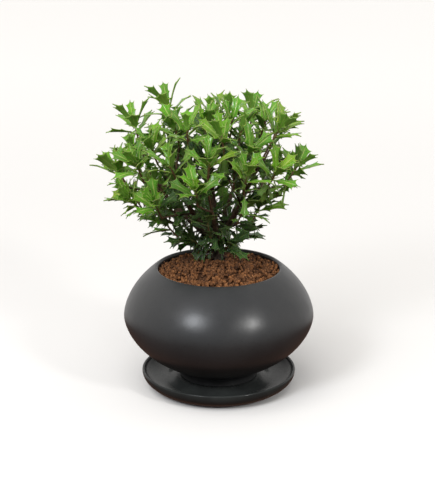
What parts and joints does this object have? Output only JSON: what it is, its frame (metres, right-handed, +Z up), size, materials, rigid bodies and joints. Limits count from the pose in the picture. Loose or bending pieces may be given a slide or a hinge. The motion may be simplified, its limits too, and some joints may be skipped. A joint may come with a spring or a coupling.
{
  "type": "potted bonsai",
  "caption": "Small holly bonsai with spiny leaves in a round matt dark pot that bulges at its middle, with clay-grain soil, standing on a glossy dark saucer.",
  "frame": {"origin": "centre of the saucer's flat underside, on the surface that it stands on", "axes": "+Z up along the pot's axis, -Y towards the front, +X to the right as seen from the front"},
  "size_m": [0.1931, 0.1747, 0.2588],
  "materials": {
    "glaze": "glossy near-black glaze",
    "clay": "satin dark grey stoneware",
    "net": "matt dark plastic net",
    "soil": "rough red-brown baked-clay grains",
    "bark": "rough dark brown bark",
    "leaf": "glossy waxy leaf"
  },
  "bodies": {
    "root": {"saucer": "glaze", "pot": "clay", "drain_mesh": "net", "soil": "soil", "trunk_and_branches": "bark", "shoot_01": "leaf", "shoot_02": "leaf", "shoot_03": "leaf", "shoot_04": "leaf", "shoot_05": "leaf", "shoot_06": "leaf", "shoot_07": "leaf", "shoot_08": "leaf", "shoot_09": "leaf", "shoot_10": "leaf", "shoot_11": "leaf", "shoot_12": "leaf", "shoot_13": "leaf", "shoot_14": "leaf", "shoot_15": "leaf", "shoot_16": "leaf", "shoot_17": "leaf", "shoot_18": "leaf", "shoot_19": "leaf", "shoot_20": "leaf", "shoot_21": "leaf", "shoot_22": "leaf", "shoot_23": "leaf", "shoot_24": "leaf", "shoot_25": "leaf", "shoot_26": "leaf", "shoot_27": "leaf", "shoot_28": "leaf", "shoot_29": "leaf", "shoot_30": "leaf", "shoot_31": "leaf", "shoot_32": "leaf", "shoot_33": "leaf", "shoot_34": "leaf", "shoot_35": "leaf", "shoot_36": "leaf", "shoot_37": "leaf", "shoot_38": "leaf", "shoot_39": "leaf", "shoot_40": "leaf", "shoot_41": "leaf", "shoot_42": "leaf", "shoot_43": "leaf", "shoot_44": "leaf", "shoot_45": "leaf", "shoot_46": "leaf", "shoot_47": "leaf", "shoot_48": "leaf", "shoot_49": "leaf", "shoot_50": "leaf", "shoot_51": "leaf", "shoot_52": "leaf", "shoot_53": "leaf", "shoot_54": "leaf", "shoot_55": "leaf"}
  },
  "joints": []
}
